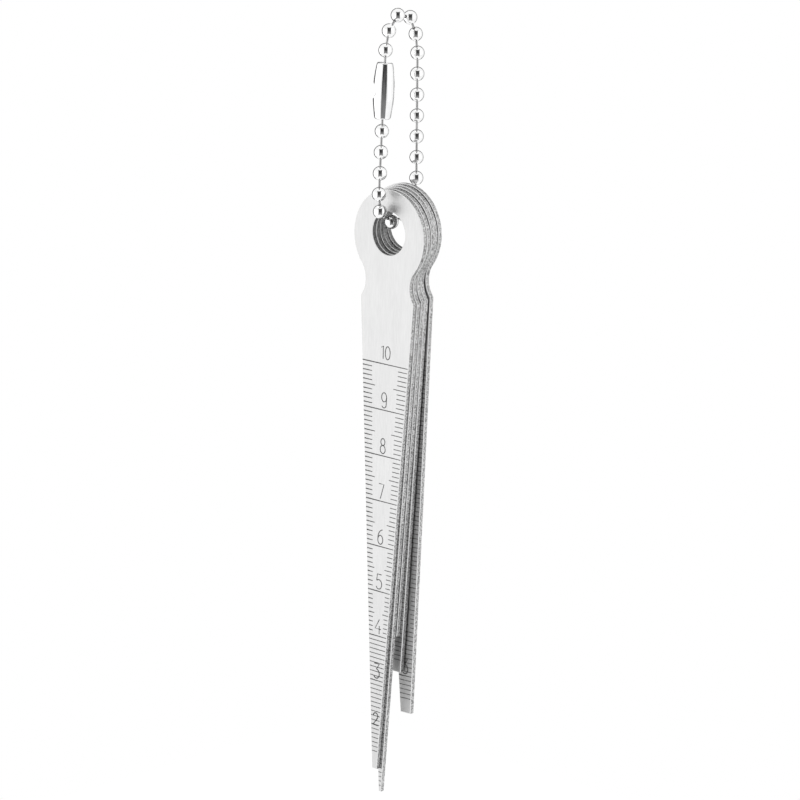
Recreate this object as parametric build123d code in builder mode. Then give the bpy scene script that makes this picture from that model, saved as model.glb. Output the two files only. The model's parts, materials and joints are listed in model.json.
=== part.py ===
from build123d import *
import os
from math import asin, ceil, cos, pi, radians, sin, sqrt

os.makedirs("parts", exist_ok=True)

# Millimetres. The gauge hangs from its chain: +Z is up and -Y is the front.
# The origin is the underside of the topmost link, where a hook carries the loop.

# Leaves: flat stainless strips whose width at each graduation is the reading
leaf_thickness = 0.8
leaf_edge_break = 0.08
head_radius = 7.5
hole_radius = 3.5
hole_rise = 0.55
neck_half_width = 4.75
neck_radius = 4.0
length_per_mm = 7.45
top_reading = 10.0
top_line_drop = 20.4

# One value per leaf, front to back: width at the tip, lean of the tip towards +X
# in degrees, and how far to +X of the chain its hole sits
tip_widths = [1.0, 0.46, 3.97, 3.12, 2.17]
leans = [0.0, 0.32, 0.45, 1.04, 2.44]
side_shifts = [0.3, 0.34, 0.24, 0.1, 0.04]

# Gaps from each leaf to the next: they hang in two pairs with a single one behind
leaf_gaps = [0.05, 0.21, 0.05, 0.21]

# Ball chain: beads bored from both sides for the wires that join them
bead_radius = 1.14
bead_pitch = 3.3
bend_closeness = 0.94
link_wire_radius = 0.18
link_play = 0.1
link_end_gap = 0.4

# Route of the chain: through the holes, up both sides and round a crown
seat_clearance = 0.66
front_clearance = 0.95
back_clearance = 0.7
strand_lean = 1.6
foot_inset = 0.35
front_foot_span = 2.8
back_foot_span = 3.1
run_offset = 0.31
run_rise = 0.6
steepest_reach = 0.87
crown_lean = 6.0
front_bead_count = 5
back_bead_count = 7
crown_span_count = 5

# Connector: a sheet sleeve like a small barrel that holds the chain's two end beads
held_span = 6.0
connector_wall = 0.24
connector_middle_play = 0.32
connector_taper = 0.44
connector_corner = 0.35
connector_end_play = 0.03
connector_end_hole_play = 0.2
slot_play = 0.14
mouth_play = 0.2
mouth_direction = 222.0

# Worked out from the sizes above
leaf_count = len(tip_widths)
stack_depth = leaf_count * leaf_thickness + sum(leaf_gaps)
zero_drop = top_line_drop + top_reading * length_per_mm
front_y = stack_depth / 2 + bead_radius + front_clearance
back_y = stack_depth / 2 + bead_radius + back_clearance
seat_height = bead_radius + seat_clearance


def chain_route():
    """Centres of the beads, from the connector's lower bead round to its upper one.

    The points are (y, z) with z measured from the first bead inside the holes.
    """
    lean = radians(strand_lean)
    feet_apart = front_y + back_y - 2 * foot_inset
    run_span_count = max(1, ceil(feet_apart / bead_pitch - 2 * steepest_reach))
    run_angle = asin(run_rise / (run_span_count * bead_pitch))
    run_width = run_span_count * bead_pitch * cos(run_angle)
    run = []
    for index in range(run_span_count + 1):
        share = index / run_span_count
        run.append((run_offset + (share - 0.5) * run_width, run_rise * share))

    def strand(end_bead, side, side_y, foot_span, count):
        """Beads up one side: the first one outside the holes, then those on a leaning line."""
        foot_y = side_y - foot_inset
        foot_z = end_bead[1] + sqrt(bead_pitch**2 - (foot_y - side * end_bead[0]) ** 2)
        line_z = foot_z + sqrt(foot_span**2 - foot_inset**2)
        beads = [(side * foot_y, foot_z)]
        for index in range(count):
            rise = index * bead_pitch
            beads.append((side * (side_y - rise * sin(lean)), line_z + rise * cos(lean)))
        return beads

    front = strand(run[0], -1, front_y, front_foot_span, front_bead_count)
    back = strand(run[-1], 1, back_y, back_foot_span, back_bead_count)

    upper_front = []
    for rise in (held_span, held_span + bead_pitch):
        side_y = front[-1][0] + rise * sin(lean)
        upper_front.append((side_y, front[-1][1] + rise * cos(lean)))

    left = back[-1]
    right = upper_front[-1]
    crown_radius = (left[0] - right[0]) / 2
    crown_length = crown_span_count * bead_pitch * bend_closeness - abs(left[1] - right[1])
    crown_height = sqrt(2 * (crown_length / pi) ** 2 - crown_radius**2)
    top = ((left[0] + right[0]) / 2, max(left[1], right[1]) + crown_height)
    inward = sin(radians(crown_lean))
    upward = cos(radians(crown_lean))
    with BuildLine(Plane.YZ) as crown:
        Spline(left, top, right, tangents=[(-inward, upward), (-inward, -upward)])
    over = []
    for index in range(1, crown_span_count):
        point = crown.wire() @ (index / crown_span_count)
        over.append((point.Y, point.Z))
    return front[::-1] + run + back + over + upper_front[::-1], run


route, run = chain_route()
top_pair = max(zip(route, route[1:]), key=lambda pair: pair[0][1] + pair[1][1])
hang_height = (top_pair[0][1] + top_pair[1][1]) / 2 - link_wire_radius
hang_y = (top_pair[0][0] + top_pair[1][0]) / 2
bead_centres = [Vector(0, y - hang_y, z - hang_height) for y, z in route]


def leaf_middle_y(index):
    """Middle plane of a leaf, counted from the front."""
    in_front = index * leaf_thickness + sum(leaf_gaps[:index])
    return in_front + leaf_thickness / 2 - stack_depth / 2 - hang_y


def leaf_pivot_z(index):
    """Height of the chain's run where a leaf hangs on it."""
    middle = leaf_middle_y(index) + hang_y
    share = (middle - run[0][0]) / (run[-1][0] - run[0][0])
    return run_rise * min(1.0, max(0.0, share)) - hang_height


def leaf_plane(index):
    """Back face of a leaf with its origin at the head's centre and its Y towards the crown."""
    lean = radians(leans[index])
    head_z = leaf_pivot_z(index) + seat_height - hole_radius - hole_rise
    return Plane(
        origin=(side_shifts[index], leaf_middle_y(index) + leaf_thickness / 2, head_z),
        x_dir=(cos(lean), 0, sin(lean)),
        z_dir=(0, -1, 0),
    )


def shoulder_point():
    """Where the tapered edge meets the hollow of the neck."""
    slope = Vector(1, 2 * length_per_mm).normalized()
    to_neck = Vector(neck_half_width + neck_radius, zero_drop - neck_drop)
    along = to_neck.dot(slope)
    aside = to_neck.cross(slope).length
    reach = along - sqrt(neck_radius**2 - aside**2)
    return (slope.X * reach, slope.Y * reach - zero_drop)


neck_drop = sqrt((head_radius + neck_radius) ** 2 - (neck_half_width + neck_radius) ** 2)
tangent_share = head_radius / (head_radius + neck_radius)
tangent = (tangent_share * (neck_half_width + neck_radius), -tangent_share * neck_drop)
shoulder = shoulder_point()


def mirrored(point):
    """The same point on the leaf's other edge."""
    return (-point[0], point[1])


# Leaves
for index in range(leaf_count):
    tip = (tip_widths[index] / 2, tip_widths[index] * length_per_mm - zero_drop)
    neck = (neck_half_width, -neck_drop)
    with BuildPart() as leaf:
        with BuildSketch(leaf_plane(index)):
            with BuildLine():
                Line(mirrored(tip), tip)
                Line(tip, shoulder)
                ThreePointArc(shoulder, neck, tangent)
                ThreePointArc(tangent, (0, head_radius), mirrored(tangent))
                ThreePointArc(mirrored(tangent), mirrored(neck), mirrored(shoulder))
                Line(mirrored(shoulder), mirrored(tip))
            make_face()
            with Locations((0, hole_rise)):
                Circle(hole_radius, mode=Mode.SUBTRACT)
        extrude(amount=leaf_thickness)
        chamfer(leaf.faces().filter_by(Axis.Y).edges(), leaf_edge_break)
    leaf.part.label = f"leaf_{index + 1}"
    export_step(leaf.part, f"parts/leaf_{index + 1}.step")


def toward(start, end):
    """Unit vector from one bead to another."""
    return (bead_centres[end] - bead_centres[start]).normalized()


# Beads: each is bored to its centre from either side
last = len(bead_centres) - 1
for index, centre in enumerate(bead_centres):
    if index == 0:
        openings = [toward(0, 1), toward(1, 0)]
    elif index == last:
        openings = [toward(last, last - 1), toward(last - 1, last)]
    else:
        openings = [toward(index, index - 1), toward(index, index + 1)]
    with BuildPart(Plane(origin=centre, z_dir=openings[0])) as bead:
        Sphere(bead_radius)
        for direction in openings:
            with BuildSketch(Plane(origin=centre, z_dir=direction)):
                Circle(link_wire_radius + link_play)
            extrude(amount=2 * bead_radius, mode=Mode.SUBTRACT)
    bead.part.label = f"chain_bead_{index + 1:02d}"
    export_step(bead.part, f"parts/chain_bead_{index + 1:02d}.step")

# Links: a short wire from inside one bead to inside the next
for index in range(last):
    direction = toward(index, index + 1)
    start = bead_centres[index] + direction * link_end_gap / 2
    end = bead_centres[index + 1] - direction * link_end_gap / 2
    with BuildPart() as link:
        with BuildSketch(Plane(origin=start, z_dir=direction)):
            Circle(link_wire_radius)
        extrude(amount=(end - start).length)
    link.part.label = f"chain_link_{index + 1:02d}"
    export_step(link.part, f"parts/chain_link_{index + 1:02d}.step")

# Connector: a barrel-shaped sleeve, slit along one side, with a mouth that lets a bead in
sleeve_axis = (bead_centres[last] - bead_centres[0]).normalized()
sleeve_middle = (bead_centres[last] + bead_centres[0]) / 2
held_length = (bead_centres[last] - bead_centres[0]).length
room_radius = bead_radius + connector_middle_play
room_half = held_length / 2 + bead_radius + connector_end_play
sleeve_half = room_half + connector_wall
facing = Vector(cos(radians(mouth_direction)), sin(radians(mouth_direction)), 0)
mouth_normal = sleeve_axis.cross(facing).normalized().cross(sleeve_axis)
seam_plane = Plane(
    origin=sleeve_middle, x_dir=-mouth_normal, z_dir=-mouth_normal.cross(sleeve_axis)
)


def barrel_profile(middle_radius, half_length, corner_radius=0):
    """Half outline of the barrel, with its straight side on the sleeve's axis."""
    end_radius = middle_radius - connector_taper
    with BuildSketch(seam_plane) as profile:
        with BuildLine():
            Line((0, half_length), (end_radius, half_length))
            ThreePointArc((end_radius, half_length), (middle_radius, 0), (end_radius, -half_length))
            Polyline((end_radius, -half_length), (0, -half_length), (0, half_length))
        make_face()
        if corner_radius:
            fillet(profile.vertices().group_by(Axis.X)[-1], corner_radius)
    return profile.sketch


with BuildPart() as connector:
    axis = Axis(sleeve_middle, sleeve_axis)
    revolve(barrel_profile(room_radius + connector_wall, sleeve_half, connector_corner), axis)
    revolve(barrel_profile(room_radius, room_half), axis, mode=Mode.SUBTRACT)
    with BuildSketch(Plane(origin=sleeve_middle, x_dir=-mouth_normal, z_dir=sleeve_axis)):
        Circle(link_wire_radius + connector_end_hole_play)
    extrude(amount=sleeve_half + connector_wall, both=True, mode=Mode.SUBTRACT)
    with BuildSketch(Plane(origin=sleeve_middle, x_dir=sleeve_axis, z_dir=mouth_normal)):
        Rectangle(2 * (sleeve_half + connector_wall), 2 * (link_wire_radius + slot_play))
        Circle(bead_radius + mouth_play)
    extrude(amount=room_radius + 2 * connector_wall, mode=Mode.SUBTRACT)
connector.part.label = "chain_connector"
export_step(connector.part, "parts/chain_connector.step")

print(f"beads {len(bead_centres)}, hang height over the first bead in the holes {hang_height:.3f}")
for index in range(leaf_count):
    print(f"leaf_{index + 1} pivot y {leaf_middle_y(index):.4f} z {leaf_pivot_z(index):.4f}")
for index, centre in enumerate(bead_centres):
    print(f"bead {index + 1} y {centre.Y:.3f} z {centre.Z:.3f}")
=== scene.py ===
import json
from collections import namedtuple
from math import cos, hypot, radians, sin

import bpy
from mathutils import Matrix, Vector

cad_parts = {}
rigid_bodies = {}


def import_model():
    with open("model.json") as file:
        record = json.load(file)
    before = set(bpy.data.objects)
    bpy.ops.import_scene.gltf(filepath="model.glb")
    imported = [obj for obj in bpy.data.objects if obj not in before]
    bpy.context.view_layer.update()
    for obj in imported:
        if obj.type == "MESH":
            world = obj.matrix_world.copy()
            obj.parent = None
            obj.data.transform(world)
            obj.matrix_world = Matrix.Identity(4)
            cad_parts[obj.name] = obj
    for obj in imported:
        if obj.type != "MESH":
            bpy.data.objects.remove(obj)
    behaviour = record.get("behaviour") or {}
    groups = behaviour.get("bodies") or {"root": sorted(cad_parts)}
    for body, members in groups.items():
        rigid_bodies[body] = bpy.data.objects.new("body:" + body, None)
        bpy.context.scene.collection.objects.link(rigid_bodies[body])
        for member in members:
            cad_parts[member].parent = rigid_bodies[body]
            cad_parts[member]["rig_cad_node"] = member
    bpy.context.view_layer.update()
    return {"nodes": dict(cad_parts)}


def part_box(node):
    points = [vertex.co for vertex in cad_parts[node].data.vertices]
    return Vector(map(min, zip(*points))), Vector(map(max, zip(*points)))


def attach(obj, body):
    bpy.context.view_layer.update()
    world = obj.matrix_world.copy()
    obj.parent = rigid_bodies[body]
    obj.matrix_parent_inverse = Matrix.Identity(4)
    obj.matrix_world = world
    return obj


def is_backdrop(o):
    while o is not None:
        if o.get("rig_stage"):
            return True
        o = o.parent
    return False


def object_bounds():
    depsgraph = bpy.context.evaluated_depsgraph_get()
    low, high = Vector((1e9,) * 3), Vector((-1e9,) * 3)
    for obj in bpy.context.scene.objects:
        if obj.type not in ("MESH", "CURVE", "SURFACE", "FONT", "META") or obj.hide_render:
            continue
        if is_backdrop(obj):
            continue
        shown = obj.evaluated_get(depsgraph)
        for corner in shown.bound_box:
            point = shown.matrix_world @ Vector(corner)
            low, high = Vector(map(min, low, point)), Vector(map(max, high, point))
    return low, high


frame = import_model()

# Sizes below are in millimetres, and times MM they are in Blender's metres
MM = 0.001

# Leaf, as it is made: the reading at a line is the leaf's width there. The hole rises over the
# head's centre, and the top line lies below it
HEAD_RADIUS = 7.5
HOLE_RISE = 0.55
EDGE_BREAK = 0.08
TOP_READING = 10
TOP_LINE_DROP = 20.4
LENGTH_PER_READING = 7.45

# One pair per leaf, front to back: lean of its tip in degrees, and the lowest reading of its
# scale in tenths
LEAVES = [(0.0, 14), (0.32, 6), (0.45, 43), (1.04, 34), (2.44, 25)]

# How far to +X of the chain the front leaf hangs, and the five leaves on average
FRONT_LEAF_ACROSS = 0.3
LEAVES_ACROSS = 0.2

# A noise and its use: spots per unit of place, with one number for round spots and three for
# stretched ones, the part of the noise that is used, the values that this is spread over, and
# the noise's detail
Texture = namedtuple("Texture", "scale spread values detail", defaults=[2.0])


def clear_default_scene():
    """Removes what a new Blender file starts with."""
    for name in ("Cube", "Light", "Camera"):
        found = bpy.data.objects.get(name)
        if found is not None and "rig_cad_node" not in found:
            bpy.data.objects.remove(found)


def add_object(name, data):
    made = bpy.data.objects.new(name, data)
    bpy.context.scene.collection.objects.link(made)
    return made


def add_mesh(name, vertices, faces):
    mesh = bpy.data.meshes.new(name)
    mesh.from_pydata(vertices, [], faces)
    mesh.validate()
    mesh.update()
    return add_object(name, mesh)


def grey(value):
    return (value, value, value, 1)


# The Mix node's sockets for each kind of value: two inputs and the output
MIX_SOCKETS = {"VECTOR": (4, 5, 1), "RGBA": (6, 7, 2)}


class Nodes:
    """A short way to build the node tree of a material or of the world."""

    def __init__(self, owner, output="ShaderNodeOutputMaterial"):
        self.owner = owner
        owner.use_nodes = True
        self.tree = owner.node_tree
        self.tree.nodes.clear()
        self.output = self.add(output)

    def add(self, kind, inputs=None, **settings):
        """A new node. An input that is given a socket is linked to it, and any other is set."""
        node = self.tree.nodes.new(kind)
        for key, value in settings.items():
            setattr(node, key, value)
        for key, value in (inputs or {}).items():
            if isinstance(value, bpy.types.NodeSocket):
                self.tree.links.new(value, node.inputs[key])
            else:
                node.inputs[key].default_value = value
        return node

    def place(self):
        """Place on a piece, in the frame of the whole object."""
        return self.add("ShaderNodeTexCoord").outputs["Object"]

    def noise(self, place, texture):
        scale = texture.scale
        if isinstance(scale, tuple):
            mapping = self.add("ShaderNodeMapping", {"Vector": place, "Scale": scale})
            place = mapping.outputs["Vector"]
            scale = 1.0
        inputs = {"Vector": place, "Scale": scale, "Detail": texture.detail}
        return self.add("ShaderNodeTexNoise", inputs).outputs["Fac"]

    def tones(self, noise, texture):
        """Greys for a noise, from the texture's first value to its second."""
        return self.ramp(noise, list(zip(texture.spread, texture.values)))

    def ramp(self, factor, stops):
        """Colour ramp of greys: stops are (position, grey)."""
        node = self.add("ShaderNodeValToRGB", {"Fac": factor})
        elements = node.color_ramp.elements
        while len(elements) < len(stops):
            elements.new(1.0)
        for element, (position, value) in zip(elements, stops):
            element.position = position
            element.color = grey(value)
        return node.outputs["Color"]

    def remap(self, value, old, new, interpolation="LINEAR"):
        """Value moved from the range old to the range new, and held at its ends."""
        limits = {"From Min": old[0], "From Max": old[1], "To Min": new[0], "To Max": new[1]}
        inputs = {"Value": value, **limits}
        node = self.add("ShaderNodeMapRange", inputs, interpolation_type=interpolation)
        return node.outputs["Result"]

    def mix(self, factor, first, second, kind="RGBA", blend="MIX"):
        first_input, second_input, output = MIX_SOCKETS[kind]
        inputs = {0: factor, first_input: first, second_input: second}
        return self.add("ShaderNodeMix", inputs, data_type=kind, blend_type=blend).outputs[output]

    def shaded(self, colour, shade):
        return self.mix(1.0, colour, shade, blend="MULTIPLY")

    def math(self, operation, first, second=0.0):
        return self.add("ShaderNodeMath", {0: first, 1: second}, operation=operation).outputs[0]

    def product(self, *factors):
        result = factors[0]
        for factor in factors[1:]:
            result = self.math("MULTIPLY", result, factor)
        return result

    def vector_math(self, operation, first, second, output="Value"):
        node = self.add("ShaderNodeVectorMath", {0: first, 1: second}, operation=operation)
        return node.outputs[output]

    def bump(self, height, strength, distance):
        inputs = {"Height": height, "Strength": strength, "Distance": distance}
        return self.add("ShaderNodeBump", inputs).outputs["Normal"]

    def shader(self, kind, inputs):
        return self.add(kind, inputs).outputs[0]

    def mix_shaders(self, share, first, second):
        return self.shader("ShaderNodeMixShader", {0: share, 1: first, 2: second})

    def finish(self, shader):
        """Links the last shader, and returns the material or world."""
        self.tree.links.new(shader, self.output.inputs[0])
        return self.owner

    def surface(self, colour, metallic, roughness, normal=None):
        """Ends a material with one Principled shader."""
        inputs = {"Base Color": colour, "Metallic": metallic, "Roughness": roughness}
        if normal is not None:
            inputs["Normal"] = normal
        return self.finish(self.shader("ShaderNodeBsdfPrincipled", inputs))


# Leaf steel: a fine grain up the leaf on its faces and a coarse one on its blanked edges
FACE_GRAIN = Texture(scale=(9000, 9000, 600), spread=(0.3, 0.7), values=(0.57, 0.62))
FACE_CLOUD = Texture(scale=(500, 500, 120), spread=(0.3, 0.7), values=(0.96, 1.0))
EDGE_SPECKLE = Texture(scale=4500.0, spread=(0.41, 0.59), values=(0.24, 0.72))
EDGE_STREAK = Texture(scale=(700, 5000, 700), spread=(0.35, 0.6), values=(0.88, 1.0))
EDGE_ROUGHNESS = 0.5
FACE_ROUGHNESS = 0.43

# How much a spot is face, and how much arris, by the part of its normal that is along Y. The
# arris, where face and edge meet, is painted as a bright non-metal grey, a painted highlight
FACE_STOPS = [(0.75, 0.0), (0.95, 1.0)]
ARRIS_STOPS = [(0.45, 0.0), (0.6, 1.0), (0.8, 1.0), (0.95, 0.0)]
ARRIS_HIGHLIGHT_GREY = 0.88

# Painted shade: the walls of the holes, which the chain and the leaves close in, are painted darker
# than the other edges by this factor, which ends over this stretch of the distance from their axis
PAINTED_WALL_SHADE = 0.45
PAINTED_WALL_SHADE_REACH = (4.8 * MM, 5.2 * MM)


def wall_shade(made, place):
    """Painted shade for the walls of the holes, darkening the steel where the chain and leaves
    close them in. One axis does for all five, which nearly line up.
    """
    axis_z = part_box("leaf_1")[1].z - (HEAD_RADIUS - HOLE_RISE) * MM
    axis = Vector((LEAVES_ACROSS * MM, 0, axis_z))
    flat_place = made.vector_math("MULTIPLY", place, (1, 0, 1), output="Vector")
    from_axis = made.vector_math("DISTANCE", flat_place, axis)
    return made.remap(from_axis, PAINTED_WALL_SHADE_REACH, (PAINTED_WALL_SHADE, 1.0))


def leaf_steel():
    """Satin stainless sheet with grainy blanked edges, and arrises painted bright as a highlight.
    """
    made = Nodes(bpy.data.materials.new("leaf_steel"))
    place = made.place()
    normal = made.add("ShaderNodeNewGeometry").outputs["Normal"]
    along_y = made.math("ABSOLUTE", made.add("ShaderNodeSeparateXYZ", {0: normal}).outputs["Y"])
    is_face = made.ramp(along_y, FACE_STOPS)
    is_arris = made.ramp(along_y, ARRIS_STOPS)

    grain = made.noise(place, FACE_GRAIN)
    cloud = made.noise(place, FACE_CLOUD)
    face = made.shaded(made.tones(grain, FACE_GRAIN), made.tones(cloud, FACE_CLOUD))

    speckle = made.noise(place, EDGE_SPECKLE)
    streak = made.noise(place, EDGE_STREAK)
    edge = made.shaded(made.tones(speckle, EDGE_SPECKLE), made.tones(streak, EDGE_STREAK))
    # Painted shade: the edge colour is darkened on the walls of the holes
    edge = made.shaded(edge, wall_shade(made, place))
    # Painted highlight: the arris is a bright non-metal grey instead of steel
    edge = made.mix(is_arris, edge, grey(ARRIS_HIGHLIGHT_GREY))

    fine = made.bump(grain, strength=0.05, distance=0.02 * MM)
    rough = made.bump(speckle, strength=0.5, distance=0.03 * MM)
    return made.surface(
        made.mix(is_face, edge, face),
        metallic=made.math("SUBTRACT", 1.0, is_arris),
        roughness=made.remap(is_face, (0.0, 1.0), (EDGE_ROUGHNESS, FACE_ROUGHNESS)),
        normal=made.mix(is_face, rough, fine, kind="VECTOR"),
    )


# Chain: the scales of the clouds in its colour and of the fine grain in its gloss
CHAIN_CLOUD_SCALE = 900.0
CHAIN_GRAIN_SCALE = 6000.0


def chain_metal(name, greys, roughnesses):
    """Nickel plate with faint clouds and a fine grain."""
    cloud = Texture(CHAIN_CLOUD_SCALE, spread=(0.35, 0.65), values=greys, detail=3.0)
    grain = Texture(CHAIN_GRAIN_SCALE, spread=(0.0, 1.0), values=roughnesses)
    made = Nodes(bpy.data.materials.new(name))
    place = made.place()
    grain_noise = made.noise(place, grain)
    return made.surface(
        made.tones(made.noise(place, cloud), cloud),
        metallic=1.0,
        roughness=made.remap(grain_noise, grain.spread, grain.values),
        normal=made.bump(grain_noise, strength=0.03, distance=0.01 * MM),
    )


ETCHING = Texture(scale=2500.0, spread=(0.3, 0.7), values=(0.03, 0.12))


def etched_line():
    """Dark grey, a little uneven."""
    made = Nodes(bpy.data.materials.new("etched_line"))
    etching = made.noise(made.place(), ETCHING)
    return made.surface(made.tones(etching, ETCHING), metallic=0.3, roughness=0.55)


def paint_cad_nodes():
    steel = leaf_steel()
    plate = chain_metal("nickel_plate", greys=(0.9, 0.98), roughnesses=(0.05, 0.13))
    wire = chain_metal("nickel_wire", greys=(0.38, 0.5), roughnesses=(0.2, 0.28))
    for name, node in frame["nodes"].items():
        if name.startswith("leaf_"):
            material = steel
        elif name.startswith("chain_link_"):
            material = wire
        else:
            material = plate
        for slot in node.material_slots:
            slot.material = material


# Etched lines: widths at the leaf's left and right edge, how far they stand over the face and go
# into it, and how far they stop short of the broken edge
LEFT_WIDTH = 0.19
RIGHT_WIDTH = 0.125
LINE_HEIGHT = 0.012
LINE_INSET = 0.03

# Ticks: lengths from the left and from the right edge, as shares of the reading. They go down to
# a reading below which each pair is one line across
TENTH_SHARES = (0.205, 0.2)
HALF_SHARES = (0.275, 0.28)
TICKS_DOWN_TO = 4

# Figures: height, rise of the middle over the line, and width of the stroke
FigureStyle = namedtuple("FigureStyle", "height rise stroke")
FIGURE_STYLE = FigureStyle(height=2.45, rise=1.6, stroke=0.155)
OTHER_FIGURE_STYLES = {
    10: FigureStyle(height=2.1, rise=1.85, stroke=0.155),
    3: FigureStyle(height=2.45, rise=1.6, stroke=0.2),
    2: FigureStyle(height=2.05, rise=0.95, stroke=0.2),
}
LOWEST_FIGURE = 2


def arc(cx, cy, rx, ry, start, end, steps=14):
    """Points on an ellipse, angles in degrees from +X, counter-clockwise with y up."""
    points = []
    for index in range(steps + 1):
        angle = radians(start + (end - start) * index / steps)
        points.append((cx + rx * cos(angle), cy + ry * sin(angle)))
    return points


def ring(cx, cy, rx, ry, steps=24):
    """A whole ellipse, from its top round to its top."""
    return arc(cx, cy, rx, ry, 90, 450, steps)


# Each figure as strokes, in a box of this width and 1 high, y up, with this pitch to the next
FIGURE_WIDTH = 0.6
FIGURE_PITCH = 0.5
FIGURES = {
    "0": [ring(0.3, 0.5, 0.25, 0.5, 28)],
    "1": [[(0.14, 0.86), (0.34, 1.0), (0.34, 0.0)]],
    "2": [arc(0.3, 0.74, 0.25, 0.26, 165, -35) + [(0.04, 0.0), (0.56, 0.0)]],
    "3": [[(0.06, 1.0), (0.52, 1.0), (0.26, 0.62)] + arc(0.27, 0.31, 0.27, 0.31, 75, -145)],
    "4": [[(0.42, 1.0), (0.05, 0.34), (0.57, 0.34)], [(0.42, 0.56), (0.42, 0.0)]],
    "5": [[(0.5, 1.0), (0.13, 1.0), (0.08, 0.57)] + arc(0.27, 0.32, 0.27, 0.32, 130, -150)],
    "6": [ring(0.3, 0.3, 0.22, 0.3), arc(0.56, 0.4, 0.48, 0.6, 100, 180)],
    "7": [[(0.06, 1.0), (0.5, 1.0), (0.2, 0.0)]],
    "8": [ring(0.3, 0.77, 0.18, 0.23, 22), ring(0.3, 0.27, 0.22, 0.27)],
    "9": [ring(0.3, 0.7, 0.22, 0.3), [(0.52, 0.7)] + arc(0.3, 0.22, 0.2, 0.22, 0, -150)],
}


class LeafScale:
    """Lines and figures on a leaf's front face, placed across and below its head's centre."""

    def __init__(self, leaf, lean):
        """The leaf's node gives the plane of the face and the head's centre."""
        low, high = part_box(leaf)
        head_radius = HEAD_RADIUS * MM
        centre_z = high.z - head_radius
        points = [vertex.co for vertex in frame["nodes"][leaf].data.vertices]
        head = [point.x for point in points if point.z > centre_z - head_radius / 2]
        self.centre = Vector(((min(head) + max(head)) / 2, low.y, centre_z))
        angle = radians(lean)
        self.right = Vector((cos(angle), 0, sin(angle)))
        self.up = Vector((-sin(angle), 0, cos(angle)))
        self.vertices = []
        self.faces = []

    def place(self, across, below):
        """Where a spot is in the world, on the front of the etched lines."""
        spot = self.centre + self.right * across * MM - self.up * below * MM
        return Vector((spot.x, self.centre.y - LINE_HEIGHT * MM, spot.z))

    def stroke(self, points, start_width, end_width):
        """A flat closed ribbon along points, with square ends."""
        sides = []
        for index in range(len(points)):
            before = points[max(index - 1, 0)]
            after = points[min(index + 1, len(points) - 1)]
            dx, dy = after[0] - before[0], after[1] - before[1]
            length = hypot(dx, dy)
            sides.append((-dy / length, dx / length))
        depth = Vector((0, 2 * LINE_HEIGHT * MM, 0))
        start = len(self.vertices)
        for index, (point, side) in enumerate(zip(points, sides)):
            share = index / (len(points) - 1)
            width = start_width + (end_width - start_width) * share
            for sign in (-0.5, 0.5):
                across = point[0] + side[0] * width * sign
                below = point[1] + side[1] * width * sign
                front = self.place(across, below)
                self.vertices += [front, front + depth]
        per_point = 4
        end = len(self.vertices) - per_point
        for a in range(start, end, per_point):
            b = a + per_point
            self.faces += [(a, a + 2, b + 2, b), (a + 1, b + 1, b + 3, a + 3)]
            self.faces += [(a, b, b + 1, a + 1), (a + 2, a + 3, b + 3, b + 2)]
        self.faces += [(start, start + 1, start + 3, start + 2), (end, end + 2, end + 3, end + 1)]

    def edge(self, reading):
        """How far from the centre line the etched lines end."""
        return reading / 2 - EDGE_BREAK - LINE_INSET

    def drop(self, reading):
        return TOP_LINE_DROP + (TOP_READING - reading) * LENGTH_PER_READING

    def line_across(self, reading, left_width, right_width):
        edge = self.edge(reading)
        drop = self.drop(reading)
        self.stroke([(-edge, drop), (edge, drop)], left_width, right_width)

    def ticks(self, reading, shares):
        """A tick in from each edge."""
        edge = self.edge(reading)
        drop = self.drop(reading)
        left_share, right_share = shares
        left = [(-edge, drop), (-edge + left_share * reading, drop)]
        right = [(edge, drop), (edge - right_share * reading, drop)]
        self.stroke(left, LEFT_WIDTH, RIGHT_WIDTH)
        self.stroke(right, RIGHT_WIDTH, RIGHT_WIDTH)

    def graduation(self, tenths):
        """The line or ticks of one reading, which is given in tenths."""
        reading = tenths / 10
        is_whole = tenths % 10 == 0
        is_half = tenths % 5 == 0
        if is_whole:
            self.line_across(reading, LEFT_WIDTH, RIGHT_WIDTH)
        elif reading < TICKS_DOWN_TO:
            self.line_across(reading, RIGHT_WIDTH, RIGHT_WIDTH)
        else:
            self.ticks(reading, HALF_SHARES if is_half else TENTH_SHARES)

    def figure(self, reading):
        """The reading as figures, upright over its line, with their middle on the centre line."""
        text = str(reading)
        height, rise, stroke = OTHER_FIGURE_STYLES.get(reading, FIGURE_STYLE)
        middle = self.drop(reading) - rise
        total = FIGURE_PITCH * (len(text) - 1) + FIGURE_WIDTH
        for index, letter in enumerate(text):
            shift = index * FIGURE_PITCH
            for line in FIGURES[letter]:
                points = [
                    ((x + shift - total / 2) * height, middle - (y - 0.5) * height)
                    for x, y in line
                ]
                self.stroke(points, stroke, stroke)


def build_scales():
    """One scale per leaf, from the top line down to just above its bare tip."""
    material = etched_line()
    for number, (lean, lowest_tenths) in enumerate(LEAVES, start=1):
        scale = LeafScale(f"leaf_{number}", lean)
        for tenths in range(TOP_READING * 10, lowest_tenths - 1, -1):
            scale.graduation(tenths)
        for reading in range(TOP_READING, LOWEST_FIGURE - 1, -1):
            if reading * 10 >= lowest_tenths:
                scale.figure(reading)
        made = add_mesh(f"scale_{number}", scale.vertices, scale.faces)
        made.data.materials.append(material)
        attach(made, f"leaf_{number}")


# Camera, as fitted to the lines and the head of the front leaf. The aim is below that leaf's head
# centre. The camera stands back from it, and so far to the right and up, which shifts the frame
LENS = 161.4
SENSOR = 36.0
CAMERA_AZIMUTH = 42.997
CAMERA_ELEVATION = 12.865
CAMERA_ROLL = 1.604
CAMERA_DISTANCE = 571.23
CAMERA_RIGHT = 2.979
CAMERA_UP = 16.129
AIM_BELOW_HEAD = 42.744


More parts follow.
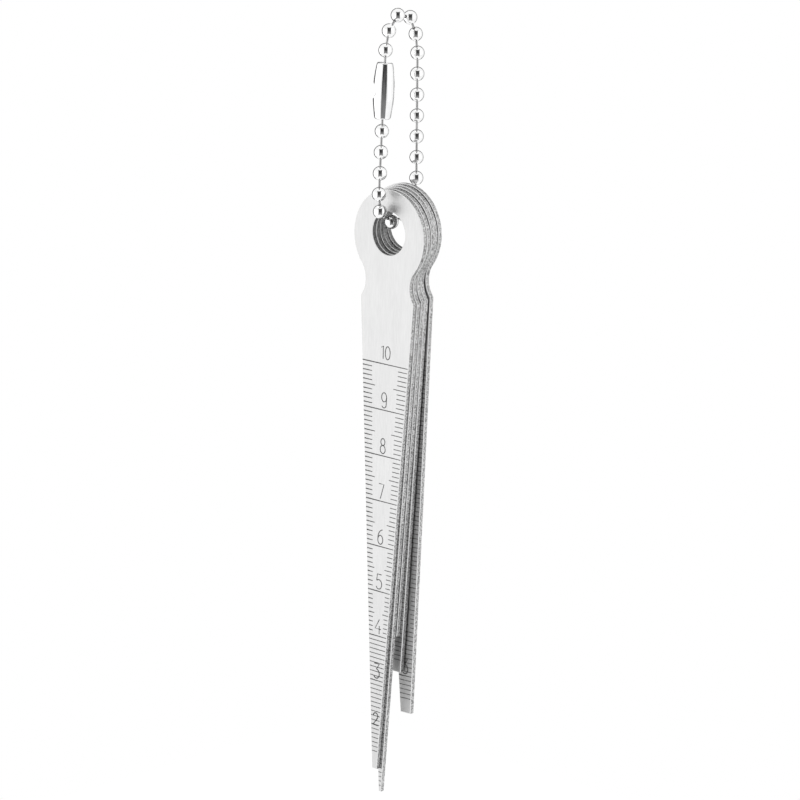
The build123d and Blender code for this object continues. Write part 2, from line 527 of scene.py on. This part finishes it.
def place_camera():
    """Makes the camera, and returns its aim and the directions right, up and back towards it."""
    azimuth, elevation, roll = (radians(v) for v in (CAMERA_AZIMUTH, CAMERA_ELEVATION, CAMERA_ROLL))
    toward = Vector((sin(azimuth) * cos(elevation), -cos(azimuth) * cos(elevation), sin(elevation)))
    level = Vector((cos(azimuth), sin(azimuth), 0))
    rise = toward.cross(level)
    right = cos(roll) * level + sin(roll) * rise
    up = cos(roll) * rise - sin(roll) * level
    low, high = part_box("leaf_1")
    aim = Vector((FRONT_LEAF_ACROSS * MM, low.y, high.z - (HEAD_RADIUS + AIM_BELOW_HEAD) * MM))
    data = bpy.data.cameras.new("camera")
    data.sensor_width = SENSOR
    data.lens = LENS
    data.clip_start = 0.01
    data.clip_end = 100
    camera = add_object("camera", data)
    spot = aim + (toward * CAMERA_DISTANCE + right * CAMERA_RIGHT + up * CAMERA_UP) * MM
    turn = Matrix((right, up, toward)).transposed().to_4x4()
    camera.matrix_world = Matrix.Translation(spot) @ turn
    bpy.context.scene.camera = camera
    return aim, right, up, toward


def background_rays(made):
    """1 for the rays that show the background: to the camera, in metal and through glass."""
    path = made.add("ShaderNodeLightPath")
    seen = made.math("MAXIMUM", path.outputs["Is Camera Ray"], path.outputs["Is Glossy Ray"])
    return made.math("MAXIMUM", seen, path.outputs["Is Transmission Ray"])


# Floor: how far it lies below the lowest tip, half its side and its grey. To the rays that show
# the background it is mostly a white of its own
FLOOR_DROP = 60
FLOOR_HALF = 160
FLOOR_GREY = 0.95
FLOOR_WHITE = 1.06
FLOOR_WHITE_SHARE = 0.8


def build_floor():
    """Pale square floor, near white to the camera, that keeps the shadow."""
    made = Nodes(bpy.data.materials.new("pale_floor"))
    share = made.product(background_rays(made), FLOOR_WHITE_SHARE)
    diffuse = made.shader("ShaderNodeBsdfDiffuse", {"Color": grey(FLOOR_GREY)})
    white = made.shader("ShaderNodeEmission", {"Color": grey(1.0), "Strength": FLOOR_WHITE})
    material = made.finish(made.mix_shaders(share, diffuse, white))
    half = FLOOR_HALF * MM
    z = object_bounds()[0].z - FLOOR_DROP * MM
    corners = [(-half, -half, z), (half, -half, z), (half, half, z), (-half, half, z)]
    floor = add_mesh("floor", corners, [(0, 1, 2, 3)])
    floor.data.materials.append(material)
    floor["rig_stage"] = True


# The studio is white, but for two dark parts that bright metal mirrors. Their limits are
# components of a unit direction, and each pair of limits is the stretch of a fade. The first dark
# part is a gap between soft boxes, at an azimuth in degrees, mottled and less deep low down
GAP_AZIMUTH = 48.0
GAP_AHEAD = (0.05, 0.2)
GAP_HALF_WIDTH = 0.46
GAP_TOP = 0.84
GAP_BOTTOM = -0.72
GAP_SOFTNESS = 0.05
GAP_MOTTLE = Texture(scale=5.0, spread=(0.4, 0.6), values=(1.0, 0.93), detail=1.0)
GAP_HEIGHTS = (-0.7, 0.2)
GAP_DEPTHS = (0.75, 1.0)

# The second is a ring round the direction of the camera's view, less deep on the camera's right
RING_OUTER_RIM = (-0.46, -0.6)
RING_INNER_RIM = (-0.95, -0.88)
RING_SIDES = (0.36, 0.56)
RING_DEPTHS = (0.92, 0.55)

# Strengths of the studio's white as light and as background, and the grey of its dark parts
SOFT_STRENGTH = 0.85
WHITE_STRENGTH = 1.0
DARK_GREY = 0.02


def world_light(right, toward):
    """White studio, with a dark gap on the camera's side and a dark ring behind the object."""
    world = bpy.data.worlds.new("studio")
    bpy.context.scene.world = world
    made = Nodes(world, "ShaderNodeOutputWorld")
    direction = made.add("ShaderNodeTexCoord").outputs["Generated"]

    def along(axis):
        return made.vector_math("DOT_PRODUCT", direction, tuple(axis))

    def fade(value, start, end):
        """0 at start and 1 at end, smooth in between."""
        return made.remap(value, (start, end), (0.0, 1.0), interpolation="SMOOTHSTEP")

    def background(value, strength=1.0):
        return made.shader("ShaderNodeBackground", {"Color": grey(value), "Strength": strength})

    azimuth = radians(GAP_AZIMUTH)
    ahead = along((sin(azimuth), -cos(azimuth), 0))
    aside = made.math("ABSOLUTE", along((cos(azimuth), sin(azimuth), 0)))
    height = along((0, 0, 1))
    gap = made.product(
        fade(ahead, *GAP_AHEAD),
        fade(aside, GAP_HALF_WIDTH + GAP_SOFTNESS, GAP_HALF_WIDTH - GAP_SOFTNESS),
        fade(height, GAP_TOP + GAP_SOFTNESS, GAP_TOP - GAP_SOFTNESS),
        fade(height, GAP_BOTTOM - GAP_SOFTNESS, GAP_BOTTOM + GAP_SOFTNESS),
        made.remap(made.noise(direction, GAP_MOTTLE), GAP_MOTTLE.spread, GAP_MOTTLE.values),
        made.remap(height, GAP_HEIGHTS, GAP_DEPTHS),
    )
    back = along(toward)
    rim = made.product(
        fade(back, *RING_OUTER_RIM),
        fade(back, *RING_INNER_RIM),
        made.remap(along(right), RING_SIDES, RING_DEPTHS),
    )
    is_glossy = made.add("ShaderNodeLightPath").outputs["Is Glossy Ray"]
    dark = made.product(made.math("MAXIMUM", gap, rim), is_glossy)
    soft = background(1.0, SOFT_STRENGTH)
    white = background(1.0, WHITE_STRENGTH)
    bright = made.mix_shaders(background_rays(made), soft, white)
    made.finish(made.mix_shaders(dark, bright, background(DARK_GREY)))


# Lamps, in watts. The leaves' faces mirror one direction to the camera. The key stands there, but
# goes only these shares of the way to the side and down
KEY_SIDE_SHARE = 0.7
KEY_DROP_SHARE = 0.5
KEY_REACH = 600
KEY_SIZE = (700, 700)
KEY_POWER = 0.92

# The fill: how far it stands from the aim back towards the camera, to the right and up
FILL_PLACE = (300, 600, 100)
FILL_SIZE = (300, 600)
FILL_POWER = 0.5


def lamp(name, spot, target, size, power):
    """A rectangular lamp at a spot, turned to its target."""
    data = bpy.data.lights.new(name, "AREA")
    data.shape = "RECTANGLE"
    data.size, data.size_y = (side * MM for side in size)
    data.energy = power
    made = add_object(name, data)
    made.location = spot
    made.rotation_euler = (target - spot).to_track_quat("-Z", "Y").to_euler()


def light_studio(aim, right, up, toward):
    """White studio with a broad key at the front left and a fill at the right."""
    world_light(right, toward)
    build_floor()
    mirrored = Vector((-KEY_SIDE_SHARE * toward.x, toward.y, -KEY_DROP_SHARE * toward.z))
    lamp("key", aim + mirrored * (KEY_REACH * MM), aim, KEY_SIZE, KEY_POWER)
    back, aside, above = (length * MM for length in FILL_PLACE)
    lamp("fill", aim + (toward * back + right * aside + up * above), aim, FILL_SIZE, FILL_POWER)


clear_default_scene()
bpy.context.scene.view_settings.view_transform = "Standard"
paint_cad_nodes()
build_scales()
light_studio(*place_camera())
